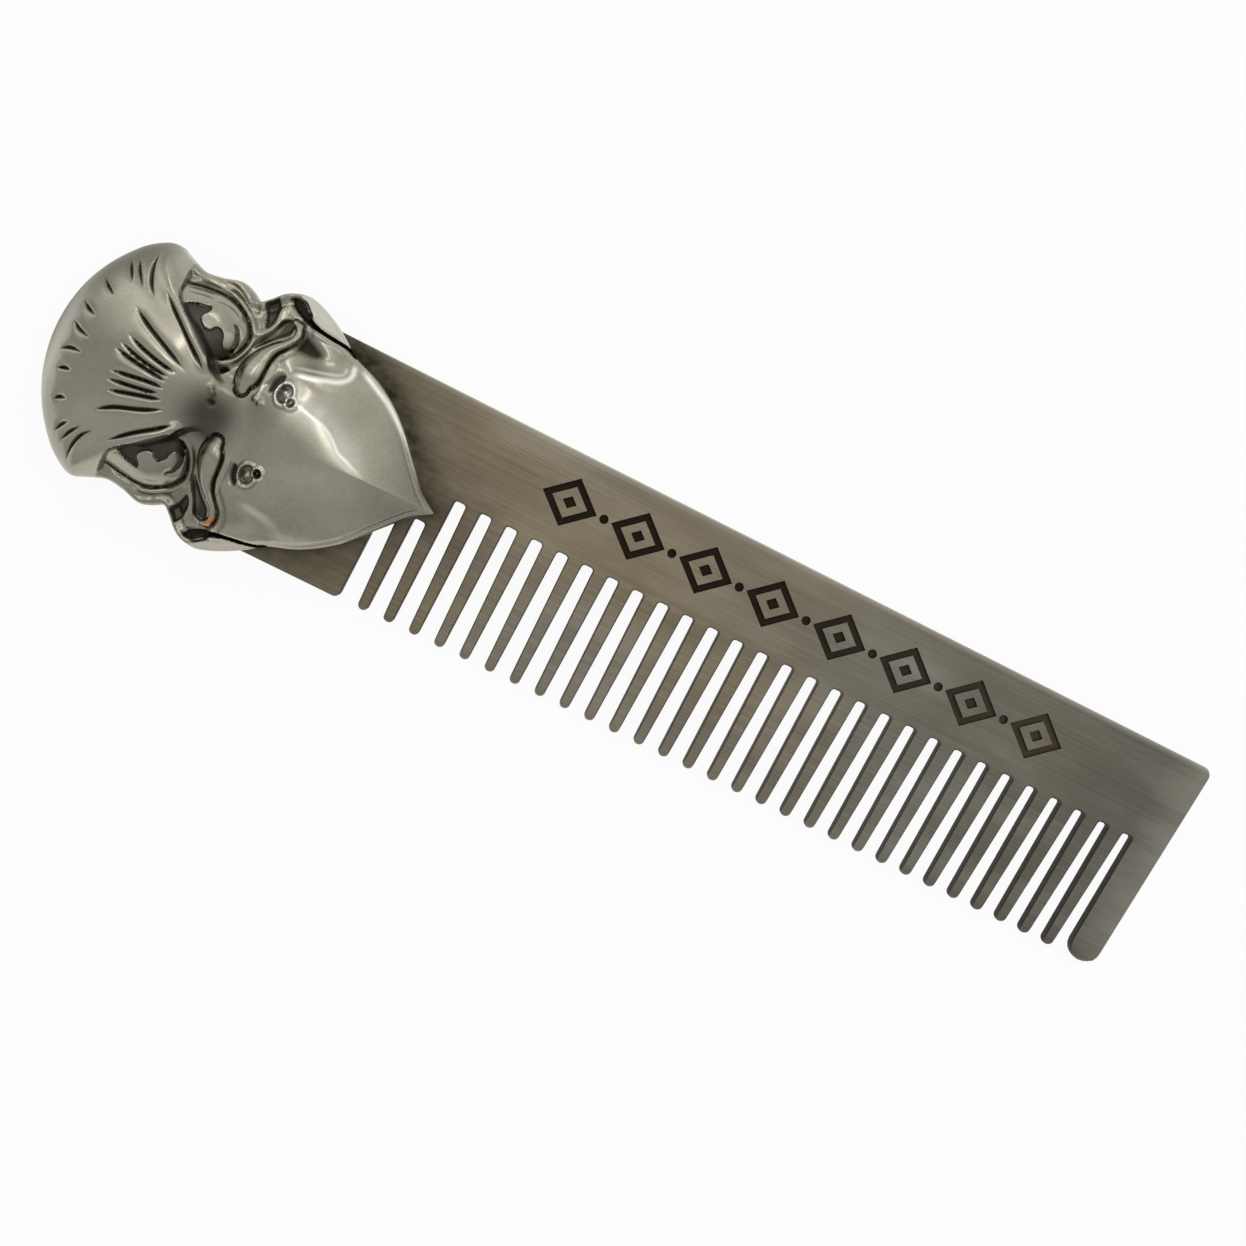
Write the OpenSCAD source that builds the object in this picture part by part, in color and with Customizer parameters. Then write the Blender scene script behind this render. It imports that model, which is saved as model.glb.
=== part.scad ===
// Beard comb: a flat sheet-metal comb plate with a cast eagle head screwed over its handle end.
// X runs from the crown of the head to the far end of the comb, Y from the tooth tips to the spine,
// and Z up from the back face. The origin is the middle of the back of the whole comb.

/* [Comb plate] */
// Height of the plate, from the tooth tips to the spine
plate_h = 25.4; // [24:0.2:32]
// Thickness of the sheet
plate_t = 1.5; // [1.2:0.1:2.4]
// Radius of the spine's far corner
corner_r = 1; // [0.4:0.1:3]
// Length of plain handle between the head's shoulders and the first slot
block_l = 18; // [16.5:0.1:20]

/* [Teeth] */
// Number of fine teeth
teeth = 29; // [12:1:36]
// Distance from one tooth to the next
tooth_pitch = 2.99; // [2.6:0.01:4]
// Length of the slots between the teeth
slot_depth = 14.9; // [12:0.1:16]
// Number of shorter slots, beside the beak
short_slots = 2; // [0:1:3]
// Length of the shorter slots
short_depth = 11.3; // [8:0.1:12]
// Width of a slot at its root
slot_root_w = 1.3; // [0.9:0.05:1.6]
// Width of a slot at the tooth tips
slot_tip_w = 1.85; // [1.3:0.05:2.1]
// How much wider the first slot is, on the side of the handle block
first_wider = 0.3; // [0:0.05:0.6]
// Radius in the root corners of a slot
root_r = 0.35; // [0.1:0.05:0.4]
// Width of the guard tooth at its tip
guard_w = 3.5; // [2.4:0.1:6]
// How much further the far end lies at the spine than at the tips; the teeth lean with it, from none at the head
end_lean = 1.4; // [0:0.1:2.5]
// Radius of the handle block's corner beside the first slot
block_r = 0.7; // [0.3:0.1:1.5]

/* [Engraved band] */
// Plain length between the beak tip and the engraving
band_gap_head = 9; // [4:0.5:20]
// Least plain length between the engraving and the far end
band_gap_end = 15; // [5:0.5:25]
// Plain height between the engraving and the spine, and between it and the slots
band_margin = 2.45; // [1.5:0.05:3]
// Distance from one lozenge to the next
lozenge_pitch = 8.1; // [7.4:0.1:9]
// Width of a lozenge
lozenge_w = 6.4; // [4:0.1:6.8]
// Width of the engraved line
line_w = 0.75; // [0.4:0.05:1]
// Radius of the dots between the lozenges
dot_r = 0.5; // [0.3:0.05:0.6]
// Depth of the engraving
engrave_d = 0.35; // [0.15:0.05:0.6]

/* [Eagle head] */
// Length of the head, from crown to beak tip
head_l = 43; // [41:0.1:48]
// Width of the head across the corners of the mouth
head_w = 28.8; // [28.4:0.1:33]
// Height of the relief above the plate
relief = 7.5; // [6.5:0.1:9]
// Height of the upright wall around the head's outline
rim_h = 1.2; // [0.6:0.1:1.6]
// How far the beak tip passes the middle of the first slot
beak_reach = 4.1; // [1:0.1:6]
// Depth of the hollow in the head's back
hollow_d = 2.4; // [1:0.1:3]
// Half-width of the hollow
hollow_half_w = 6; // [4:0.1:6.5]

/* [Fixing] */
// How far the tang stays inside the narrowest part of the head
tang_inset = 1.2; // [0.8:0.1:2.5]
// Distance of the tang's end from the head's crown
tang_end_gap = 6.4; // [5.6:0.1:7.5]
// Radius of the screw shank
screw_r = 1.25; // [0.8:0.05:1.4]
// Length of the screw from its flat top to its end
screw_l = 5.5; // [4.6:0.1:5.6]
// Radius of the countersunk screw head
screw_head_r = 2.2; // [1.9:0.05:2.4]
// Radial clearance of the shank in the plate's hole
hole_clear = 0.15; // [0.05:0.05:0.4]
// Radial clearance of the shank in the tapped boss
thread_clear = 0.02; // [0.01:0.01:0.08]
// Wall of the boss around its tapped hole
boss_wall = 1.25; // [0.8:0.05:1.6]
// Distance of the crown screw behind the head's crown
crown_screw_at = 11; // [10.5:0.1:13]
// Distance of the beak screw behind the head's crown
beak_screw_at = 29.5; // [27:0.1:31]

/* [Hidden] */

eps = 0.01;
past = 1;              // how far a cutter runs past the face that it cuts
arc_steps = 5;

// --- places along X ---------------------------------------------------------------------------

slots = teeth + 1;
first_slot = head_l - beak_reach;
last_slot = first_slot + teeth * tooth_pitch;
guard_x = last_slot + slot_tip_w / 2;
comb_l = guard_x + guard_w + end_lean;
shoulder_at = first_slot - slot_tip_w / 2 - first_wider - block_l;
left_x = -comb_l / 2;
band_x = left_x + head_l + band_gap_head;
lozenges = floor((comb_l - head_l - band_gap_head - band_gap_end - lozenge_w) / lozenge_pitch) + 1;

// --- places along Y ---------------------------------------------------------------------------

tip_y = -plate_h / 2;
spine_y = plate_h / 2;
root_y = tip_y + slot_depth;
band_y = (spine_y + root_y) / 2;
lozenge_h = spine_y - root_y - 2 * band_margin;

// --- small functions --------------------------------------------------------------------------

function arc(cx, cy, r, from, to) =
    [for (i = [0:arc_steps]) let (a = from + (to - from) * i / arc_steps) [cx + r * cos(a), cy + r * sin(a)]];

function ease(low, high, v) =
    let (t = min(max((v - low) / (high - low), 0), 1)) t * t * (3 - 2 * t);

function bell(d, w) = exp(-d * d / (w * w));

// Cubic through b and c, steered by their neighbours a and d
function cubic(a, b, c, d, t) =
    (2 * b + (c - a) * t + (2 * a - 5 * b + 4 * c - d) * t * t + (3 * b - a - 3 * c + d) * t * t * t) / 2;

// Distance from point p to the segment from a to b
function seg_dist(p, a, b) =
    let (t = min(max((p - a) * (b - a) / ((b - a) * (b - a)), 0), 1)) norm(p - a - t * (b - a));

// Distance from point p to a line through several points
function line_dist(p, pts) = min([for (i = [0:len(pts) - 2]) seg_dist(p, pts[i], pts[i + 1])]);

// --- the head's form, drawn on a head of the sizes below and stretched to head_l, head_w and relief ---

form_l = 43.3;
form_w = 29;
form_h = 7.5;

// Half of the outline, as distance from the crown and half-width
half_outline = [
    [0, 0], [0.6, 4.4], [2.2, 8.1], [4.6, 11.3], [6.6, 12.8], [8, 13.2], [9.2, 12.75], [11.2, 12],
    [13.2, 12.2], [15.2, 12.75], [16.6, 12.35], [17.7, 11.8], [18.7, 12.6], [20, 13.85], [22.2, 14.5],
    [24.7, 13.7], [27.2, 12.3], [28.9, 11.15], [32.4, 9.8], [35.7, 7.5], [38.7, 4.2], [41.2, 1.5], [43.3, 0]
];
outline_last = len(half_outline) - 1;
row_steps = 3;         // rows of facets between two outline points
rows = outline_last * row_steps;
cols = 40;
crown_rows = 2;        // the first row of facets, where the crown is already some width across
tip_rows = 3;          // the same at the beak tip, counted from its end

// The outline's point before or after the list keeps the crown round and the beak tip sharp
function outline_at(i) =
    i < 0 ? [half_outline[1][0], -half_outline[1][1]]
    : i > outline_last ? 2 * half_outline[outline_last] - half_outline[outline_last - 1]
    : half_outline[i];

function outline_row(r) =
    let (i = min(floor(r / row_steps), outline_last - 1), t = r / row_steps - i)
    cubic(outline_at(i - 1), outline_at(i), outline_at(i + 1), outline_at(i + 2), t);

// Height of the head's middle line at equal steps from crown to beak tip
ridge_heights = [1.2, 4, 5.4, 6.4, 7, 7.4, 7.5, 6.7, 5.5, 5.9, 6.8, 7.3, 7.2, 6.6, 5.7, 4.7, 3.6, 2.4, 1.2];
ridge_last = len(ridge_heights) - 1;

function ridge(s) =
    let (g = s / form_l * ridge_last, i = min(floor(g), ridge_last - 1), h = ridge_heights)
    cubic(h[max(i - 1, 0)], h[i], h[i + 1], h[min(i + 2, ridge_last)], g - i);

form_rim = 1.2;
brow_line = [
    [10.2, 11.8], [10.8, 10], [11.8, 8.4], [13.1, 7.5], [14.8, 6.2], [16.1, 4.8], [17.2, 3.4], [18.3, 1.2]
];
wattle_line = [
    [21.1, 2.8], [20.9, 4.1], [21, 5.7], [21.3, 7.3], [22.2, 8.6], [23.2, 9.4], [23.8, 10.3], [23.4, 11.3]
];
gape_line = [[21.1, 13.6], [22.2, 12.7], [24.1, 11.8], [26.4, 11.6], [27.8, 11.4]];
cheek_line = [[19.2, 3.6], [19.3, 7], [19.8, 10.5]];
eye = [16.3, 7.8];
face_drop = 1.5;       // how far the face lies below the brow and the beak
face_from = 10.4;      // where the face starts behind the crown
face_to = [19.6, 24];  // where it meets the beak, on the middle line and at the mouth
brow_h = 0.5;
eyeball_h = 1.5;
wattle_h = 1;
cheek_d = 0.6;
gape_d = 1.1;

// Cross-section of the dome: rounder over the crown, and with a keel towards the beak tip
function dome(s, y, half_w) =
    let (t = min(abs(y) / half_w, 1), beak = ease(20, 40, s))
    form_rim + (ridge(s) - form_rim) * pow(1 - pow(t, 2.3 - 0.8 * beak), 0.6 + 0.25 * beak);

// 1 over the lowered face between the brows and the beak, 0 elsewhere
function face_part(s, y) =
    let (beak_at = face_to[0] + (face_to[1] - face_to[0]) * y * 2 / form_w)
    ease(0, 0.8, y - lookup(s, brow_line)) * ease(face_from - 0.4, face_from + 0.4, s)
    * (1 - ease(beak_at - 0.6, beak_at + 0.6, s));

// Height of the form at s along it and y across it, where it is half_w wide on each side
function form_height(s, y, half_w) =
    let (p = [s, abs(y)],
         edge = half_w - p[1],
         raised = brow_h * bell(line_dist(p, brow_line), 0.9)
             + eyeball_h * bell(norm(p - eye), 2)
             + wattle_h * bell(line_dist(p, wattle_line), 0.9),
         sunk = face_drop * face_part(s, p[1])
             + cheek_d * bell(line_dist(p, cheek_line), 0.8))
    dome(s, y, half_w) + ease(0, 1.6, edge) * (raised - sunk)
        - ease(0, 0.8, edge) * gape_d * bell(line_dist(p, gape_line), 0.6);

to_l = head_l / form_l;
to_w = head_w / form_w;
to_h = (relief - rim_h) / (form_h - form_rim);

function form_to_head(s, y, z) =
    [left_x + s * to_l, y * to_w, plate_t + rim_h + (min(z, form_h) - form_rim) * to_h];

// --- the tang under the head ------------------------------------------------------------------

notch = 11;            // the outline's point at the head's narrowest place
tang_half_w = half_outline[notch][1] * to_w - tang_inset;
tang_corner_r = 3;
shoulder_r = 1.5;

crown_x = left_x + crown_screw_at;
beak_x = left_x + beak_screw_at;
boss_r = screw_r + thread_clear + boss_wall;
tap_past = 0.4;        // how far the tapped hole runs past the screw's end
hollow_corner_r = 2;
hollow_past = 1;       // how far the hollow runs past each boss

// --- comb plate -------------------------------------------------------------------------------

// One slot with its mouth flared by the round tips of its two neighbours
module slot(depth, lean, wider, left_r, right_r) {
    half_root = slot_root_w / 2;
    half_tip = slot_tip_w / 2;
    end_y = tip_y + depth;
    polygon(concat(
        arc(lean - half_root - wider + root_r, end_y - root_r, root_r, 90, 180),
        arc(-half_tip - wider - left_r, tip_y + left_r, left_r, 0, -90),
        [[-half_tip - wider - left_r, tip_y - past], [half_tip + right_r, tip_y - past]],
        arc(half_tip + right_r, tip_y + right_r, right_r, 270, 180),
        arc(lean + half_root - root_r, end_y - root_r, root_r, 0, 90)));
}

module slots_2d() {
    tooth_r = (tooth_pitch - slot_tip_w) / 2;
    guard_r = guard_w / 2 - eps;
    for (k = [0:slots - 1]) {
        first = k == 0;
        last = k == slots - 1;
        depth = k < short_slots ? short_depth : slot_depth;
        lean = end_lean * k / teeth * depth / plate_h;
        translate([left_x + first_slot + k * tooth_pitch, 0])
            slot(depth, lean, first ? first_wider : 0, first ? block_r : tooth_r, last ? guard_r : tooth_r);
    }
}

// Full-height part of the plate, from the shoulders under the head to the far end
module blade_2d() {
    tip_x = left_x + comb_l - end_lean;
    end_x = left_x + comb_l;
    shoulder = left_x + shoulder_at;
    guard_r = guard_w / 2;
    polygon(concat(
        arc(shoulder + shoulder_r, tip_y + shoulder_r, shoulder_r, 180, 270),
        arc(tip_x - guard_r, tip_y + guard_r, guard_r, 270, 360),
        arc(end_x - corner_r, spine_y - corner_r, corner_r, 0, 90),
        arc(shoulder + shoulder_r, spine_y - shoulder_r, shoulder_r, 90, 180)));
}

// Narrower part of the plate that reaches under the crown
module tang_2d() {
    end_x = left_x + tang_end_gap;
    joined_x = left_x + shoulder_at + past;
    r = tang_corner_r;
    polygon(concat(
        arc(end_x + r, -tang_half_w + r, r, 180, 270),
        [[joined_x, -tang_half_w], [joined_x, tang_half_w]],
        arc(end_x + r, tang_half_w - r, r, 90, 180)));
}

module lozenge_2d(w, h) {
    polygon([[-w / 2, 0], [0, -h / 2], [w / 2, 0], [0, h / 2]]);
}

// Row of lozenge frames, each with a solid lozenge inside, and dots between them
module engraving_2d() {
    slope = norm([lozenge_w, lozenge_h]);
    core = 0.4;        // size of the solid lozenge, as a share of the frame's opening
    inner_w = lozenge_w - 2 * line_w * slope / lozenge_h;
    inner_h = lozenge_h - 2 * line_w * slope / lozenge_w;
    translate([band_x + lozenge_w / 2, band_y]) {
        for (k = [0:lozenges - 1]) {
            translate([k * lozenge_pitch, 0]) {
                difference() {
                    lozenge_2d(lozenge_w, lozenge_h);
                    lozenge_2d(inner_w, inner_h);
                }
                lozenge_2d(inner_w * core, inner_h * core);
            }
        }
        for (k = [0:lozenges - 2]) {
            translate([(k + 0.5) * lozenge_pitch, 0]) circle(r = dot_r, $fn = 24);
        }
    }
}

// Countersunk clearance hole, open to the back face
module screw_hole(x) {
    hole_r = screw_r + hole_clear;
    translate([x, 0, -past]) cylinder(h = plate_t + 2 * past, r = hole_r, $fn = 48);
    translate([x, 0, 0]) cylinder(h = screw_head_r - screw_r, r1 = screw_head_r, r2 = screw_r, $fn = 48);
    translate([x, 0, -past]) cylinder(h = past, r = screw_head_r, $fn = 48);
}

module comb_plate() {
    color([0.47, 0.44, 0.38])
    difference() {
        linear_extrude(plate_t)
            difference() {
                union() {
                    blade_2d();
                    tang_2d();
                }
                slots_2d();
            }
        translate([0, 0, plate_t - engrave_d]) linear_extrude(engrave_d + past) engraving_2d();
        screw_hole(crown_x);
        screw_hole(beak_x);
    }
}

// --- eagle head -------------------------------------------------------------------------------

// Relief of the head as one closed mesh: rows of points from crown to beak tip, with an upright rim
module head_relief() {
    row_len = cols + 1;
    inner = [for (r = [crown_rows:rows - tip_rows]) outline_row(r)];
    top = [for (o = inner) for (c = [0:cols])
        let (y = o[1] * (2 * c / cols - 1))
        form_to_head(o[0], y, c == 0 || c == cols ? form_rim : form_height(o[0], y, o[1]))];
    foot = [for (o = inner) for (side = [-1, 1])
        let (p = form_to_head(o[0], side * o[1], form_rim)) [p[0], p[1], plate_t]];
    n = len(inner);
    foot_0 = len(top);
    ends = [for (s = [0, form_l]) for (z = [plate_t + rim_h, plate_t]) [left_x + s * to_l, 0, z]];
    crown_top = foot_0 + len(foot);
    crown_foot = crown_top + 1;
    tip_top = crown_top + 2;
    tip_foot = crown_top + 3;
    function t(r, c) = r * row_len + c;
    function f(r, side) = foot_0 + 2 * r + side;
    // The facets' diagonals lean the opposite way on the two sides, so the mesh is symmetric
    skin = [for (r = [0:n - 2]) for (c = [0:cols - 1]) each c < cols / 2
        ? [[t(r, c), t(r, c + 1), t(r + 1, c + 1)], [t(r, c), t(r + 1, c + 1), t(r + 1, c)]]
        : [[t(r, c), t(r, c + 1), t(r + 1, c)], [t(r, c + 1), t(r + 1, c + 1), t(r + 1, c)]]];
    caps = [for (c = [0:cols - 1]) each
        [[crown_top, t(0, c + 1), t(0, c)], [tip_top, t(n - 1, c), t(n - 1, c + 1)]]];
    walls = [for (r = [0:n - 2]) each
        [[t(r, 0), t(r + 1, 0), f(r + 1, 0), f(r, 0)], [t(r + 1, cols), t(r, cols), f(r, 1), f(r + 1, 1)]]];
    corners = [
        [crown_top, t(0, 0), f(0, 0), crown_foot], [t(0, cols), crown_top, crown_foot, f(0, 1)],
        [t(n - 1, 0), tip_top, tip_foot, f(n - 1, 0)], [tip_top, t(n - 1, cols), f(n - 1, 1), tip_foot]
    ];
    base = [for (r = [0:n - 2]) [f(r, 0), f(r + 1, 0), f(r + 1, 1), f(r, 1)]];
    base_ends = [[crown_foot, f(0, 0), f(0, 1)], [tip_foot, f(n - 1, 1), f(n - 1, 0)]];
    faces = concat(skin, caps, walls, corners, base, base_ends);
    polyhedron(points = concat(top, foot, ends), faces = faces, convexity = 8);
}

// Rounded bar between two places on the middle line, for the hollow
module hollow_2d(from_x, to_x) {
    r = hollow_corner_r;
    half_w = hollow_half_w;
    polygon(concat(
        arc(from_x + r, -half_w + r, r, 180, 270), arc(to_x - r, -half_w + r, r, 270, 360),
        arc(to_x - r, half_w - r, r, 0, 90), arc(from_x + r, half_w - r, r, 90, 180)));
}

module eagle_head() {
    color([0.55, 0.54, 0.48])
    difference() {
        head_relief();
        difference() {
            translate([0, 0, plate_t - past]) linear_extrude(hollow_d + past)
                hollow_2d(crown_x - boss_r - hollow_past, beak_x + boss_r + hollow_past);
            for (x = [crown_x, beak_x]) {
                translate([x, 0, plate_t - 2 * past]) cylinder(h = hollow_d + 4 * past, r = boss_r, $fn = 48);
            }
        }
        for (x = [crown_x, beak_x]) {
            translate([x, 0, plate_t - past])
                cylinder(h = screw_l - plate_t + tap_past + past, r = screw_r + thread_clear, $fn = 48);
        }
    }
}

// --- screws -----------------------------------------------------------------------------------

// Countersunk screw, its flat top flush with the comb's back face
module screw(x) {
    driver_r = screw_head_r * 0.45;
    driver_d = 0.5;
    color([0.62, 0.62, 0.6])
    translate([x, 0, 0])
        difference() {
            union() {
                cylinder(h = screw_head_r - screw_r, r1 = screw_head_r, r2 = screw_r, $fn = 48);
                cylinder(h = screw_l, r = screw_r, $fn = 48);
            }
            translate([0, 0, -past]) cylinder(h = driver_d + past, r = driver_r, $fn = 6);
        }
}

module crown_screw() {
    screw(crown_x);
}

module beak_screw() {
    screw(beak_x);
}

comb_plate();
eagle_head();
crown_screw();
beak_screw();
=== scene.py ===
import math

import bmesh
import bpy
import numpy as np
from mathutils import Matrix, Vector


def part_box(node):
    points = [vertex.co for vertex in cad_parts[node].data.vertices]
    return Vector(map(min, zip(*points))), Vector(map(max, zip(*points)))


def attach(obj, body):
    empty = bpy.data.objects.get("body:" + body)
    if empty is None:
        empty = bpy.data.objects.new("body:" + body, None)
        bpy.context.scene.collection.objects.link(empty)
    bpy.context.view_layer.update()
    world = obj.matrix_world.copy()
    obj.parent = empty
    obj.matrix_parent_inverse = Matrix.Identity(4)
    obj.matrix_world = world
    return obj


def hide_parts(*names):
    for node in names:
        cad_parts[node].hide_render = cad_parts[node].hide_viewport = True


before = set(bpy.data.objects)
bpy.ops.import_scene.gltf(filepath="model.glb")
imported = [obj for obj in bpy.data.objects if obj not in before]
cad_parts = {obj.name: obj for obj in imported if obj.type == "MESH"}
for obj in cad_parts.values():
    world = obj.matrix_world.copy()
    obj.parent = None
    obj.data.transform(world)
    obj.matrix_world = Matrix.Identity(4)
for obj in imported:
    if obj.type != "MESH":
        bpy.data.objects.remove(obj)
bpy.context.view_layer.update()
mm = 0.001
print("frame loaded:", ", ".join(sorted(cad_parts)))


# camera, floor and light

view = {
    "place": (-10.788, 9.747, 150.615),     # mm
    "turn": (-5.7652, -1.8661, 26.6162),    # degrees
    "lens": 40.45,
    "sensor": 36.0,
}

studio = {
    "floorSize": 0.9,
    "floorColour": (0.86, 0.86, 0.86, 1),
    "floorGlow": 0.93,          # share of the floor that shows as plain white
    # brightness of the room from the tooth side (0) over the zenith (0.5) to the spine side (1)
    "room": ((0.12, 0.58), (0.3, 0.64), (0.42, 0.53), (0.51, 0.54), (0.57, 0.84), (0.62, 1), (0.69, 1.28),
             (0.76, 1), (0.86, 0.76), (0.93, 0.96), (1, 0.98)),
    "horizon": 0.85,            # how bright it is near the floor
    "horizonEnds": (0.05, 0.45),    # heights of the sky between which it grows to full
}

softBoxes = {
    # name: place in mm, what it points at in mm, width and height in mm, watts, colour
    "highStrip": ((91, 197, 369), (-38, 3, 8), (320, 32), 0.07, (1, 0.99, 0.96)),
    "lowStrip": ((-40, 330, 230), (-38, 3, 8), (300, 34), 0.11, (1, 0.985, 0.95)),
    "crownBox": ((-145, 155, 387), (-45, 3, 8), (180, 90), 0.1, (1, 0.985, 0.96)),
}


def addCamera():
    data = bpy.data.cameras.new("camera")
    data.sensor_width = view["sensor"]
    data.lens = view["lens"]
    data.clip_start = 0.005
    data.clip_end = 10
    camera = bpy.data.objects.new("camera", data)
    camera.location = Vector(view["place"]) * mm
    camera.rotation_euler = [math.radians(a) for a in view["turn"]]
    bpy.context.scene.collection.objects.link(camera)
    bpy.context.scene.camera = camera


def addSoftBox(name, place, aim, size, watts, colour):
    data = bpy.data.lights.new(name, "AREA")
    data.shape = "RECTANGLE"
    data.size, data.size_y = size[0] * mm, size[1] * mm
    data.energy = watts
    data.color = colour
    lamp = bpy.data.objects.new(name, data)
    lamp.location = Vector(place) * mm
    lamp.rotation_euler = (Vector(aim) - Vector(place)).to_track_quat("-Z", "Y").to_euler()
    bpy.context.scene.collection.objects.link(lamp)


def addNode(tree, kind, inputs=None, **settings):
    made = tree.nodes.new(kind)
    for name, value in settings.items():
        setattr(made, name, value)
    for name, value in (inputs or {}).items():
        made.inputs[name].default_value = value
    return made


def placeOn(tree, scale, turn=0):
    # Object coordinates, stretched by scale and turned about Z
    place = addNode(tree, "ShaderNodeTexCoord")
    stretch = addNode(tree, "ShaderNodeMapping")
    stretch.inputs["Scale"].default_value = scale
    stretch.inputs["Rotation"].default_value = (0, 0, math.radians(turn))
    tree.links.new(place.outputs["Object"], stretch.inputs["Vector"])
    return stretch.outputs[0]


def noise(tree, scale, detail=3.0, roughness=0.55, turn=0):
    made = addNode(tree, "ShaderNodeTexNoise", {"Scale": 1.0, "Detail": detail, "Roughness": roughness})
    tree.links.new(placeOn(tree, scale, turn), made.inputs["Vector"])
    return made.outputs["Fac"]


def ramp(tree, fac, *stops):
    made = addNode(tree, "ShaderNodeValToRGB")
    band = made.color_ramp
    while len(band.elements) < len(stops):
        band.elements.new(0.5)
    for element, (at, colour) in zip(band.elements, stops):
        element.position = at
        element.color = (*colour, 1)
    tree.links.new(fac, made.inputs["Fac"])
    return made.outputs["Color"]


def mixColour(tree, fac, a, b, blend="MIX"):
    made = addNode(tree, "ShaderNodeMix", data_type="RGBA", blend_type=blend)
    for value, slot in ((fac, 0), (a, 6), (b, 7)):
        if isinstance(value, bpy.types.NodeSocket):
            tree.links.new(value, made.inputs[slot])
        else:
            made.inputs[slot].default_value = (*value, 1) if isinstance(value, tuple) else value
    return made.outputs[2]


def mapValue(tree, value, low, high, newLow, newHigh):
    made = addNode(tree, "ShaderNodeMapRange",
                   {"From Min": low, "From Max": high, "To Min": newLow, "To Max": newHigh})
    tree.links.new(value, made.inputs["Value"])
    return made.outputs["Result"]


def addBump(tree, metal, heights, distance, strength=1.0):
    bump = addNode(tree, "ShaderNodeBump", {"Strength": strength, "Distance": distance})
    tree.links.new(heights, bump.inputs["Height"])
    tree.links.new(bump.outputs["Normal"], metal.inputs["Normal"])


def seenDirectly(tree):
    # 1 for what the camera sees, also by way of metal or glass
    path = addNode(tree, "ShaderNodeLightPath")
    first = addNode(tree, "ShaderNodeMath", operation="ADD", use_clamp=True)
    both = addNode(tree, "ShaderNodeMath", operation="ADD", use_clamp=True)
    tree.links.new(path.outputs["Is Camera Ray"], first.inputs[0])
    tree.links.new(path.outputs["Is Glossy Ray"], first.inputs[1])
    tree.links.new(first.outputs[0], both.inputs[0])
    tree.links.new(path.outputs["Is Transmission Ray"], both.inputs[1])
    return both.outputs[0]


def addFloor():
    material = bpy.data.materials.new("paleFloor")
    material.use_nodes = True
    tree = material.node_tree
    tree.nodes.clear()
    paper = addNode(tree, "ShaderNodeBsdfDiffuse", {"Color": studio["floorColour"]})
    glow = addNode(tree, "ShaderNodeEmission", {"Color": (1, 1, 1, 1), "Strength": 1.0})
    share = addNode(tree, "ShaderNodeMath", operation="MULTIPLY")
    share.inputs[1].default_value = studio["floorGlow"]
    mix = addNode(tree, "ShaderNodeMixShader")
    out = addNode(tree, "ShaderNodeOutputMaterial")
    tree.links.new(seenDirectly(tree), share.inputs[0])
    tree.links.new(share.outputs[0], mix.inputs["Fac"])
    tree.links.new(paper.outputs[0], mix.inputs[1])
    tree.links.new(glow.outputs[0], mix.inputs[2])
    tree.links.new(mix.outputs[0], out.inputs["Surface"])

    bm = bmesh.new()
    bmesh.ops.create_grid(bm, x_segments=1, y_segments=1, size=studio["floorSize"])
    bmesh.ops.translate(bm, vec=(0, 0, -0.02 * mm), verts=bm.verts)
    mesh = bpy.data.meshes.new("floor")
    bm.to_mesh(mesh)
    bm.free()
    mesh.materials.append(material)
    floor = bpy.data.objects.new("floor", mesh)
    bpy.context.scene.collection.objects.link(floor)


def addWorld():
    world = bpy.data.worlds.new("studio")
    world.use_nodes = True
    tree = world.node_tree
    tree.nodes.clear()
    room = addNode(tree, "ShaderNodeBackground")
    heading = addNode(tree, "ShaderNodeTexCoord")
    axes = addNode(tree, "ShaderNodeSeparateXYZ")
    tree.links.new(heading.outputs["Generated"], axes.inputs[0])
    towards = mapValue(tree, axes.outputs["Y"], -1, 1, 0, 1)
    levels = [(at, (level, level, level)) for at, level in studio["room"]]
    tree.links.new(ramp(tree, towards, *levels), room.inputs["Color"])
    strength = mapValue(tree, axes.outputs["Z"], *studio["horizonEnds"], studio["horizon"], 1)
    tree.links.new(strength, room.inputs["Strength"])
    out = addNode(tree, "ShaderNodeOutputWorld")
    tree.links.new(room.outputs[0], out.inputs["Surface"])
    bpy.context.scene.world = world


addCamera()
addFloor()
addWorld()
for name, values in softBoxes.items():
    addSoftBox(name, *values)
bpy.context.scene.view_settings.view_transform = "Standard"
print("camera, floor and soft boxes placed")


# metals

def newMetal(name):
    material = bpy.data.materials.new(name)
    material.use_nodes = True
    tree = material.node_tree
    tree.nodes.clear()
    metal = addNode(tree, "ShaderNodeBsdfPrincipled", {"Metallic": 1.0})
    out = addNode(tree, "ShaderNodeOutputMaterial")
    tree.links.new(metal.outputs[0], out.inputs["Surface"])
    return material, tree, metal


def fromMesh(tree, name):
    return addNode(tree, "ShaderNodeAttribute", attribute_name=name).outputs["Fac"]


plateFinish = {
    "grey": (0.325, 0.31, 0.26),
    "brown": (0.297, 0.246, 0.172),
    # colour of tarnish and of painted shade
    "tarnishAndShade": (0.03, 0.027, 0.018),
    # colour of the painted highlight on the spine and the far end, partly wear
    "polishAndHighlight": (0.5, 0.475, 0.4),
    # near-black colour of the walls, partly painted shade
    "wall": (0.04, 0.034, 0.025),
    "etched": (0.026, 0.019, 0.011),
    # colour the plate darkens to towards the far end
    "farEndColour": (0.05, 0.05, 0.045),
    "farDarkening": 0.52,             # how much darker the plate grows towards the far end
    "greyFrom": (0.016, 0.042),     # where along it, in m, brown turns to grey
    "shades": ((0.7, 0.69, 0.67), (1.14, 1.14, 1.12)),      # darkest and lightest grain
    "spineHighlight": 0.5,
    "endHighlight": 0.45,
    "roughness": (0.34, 0.46),
}

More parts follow.
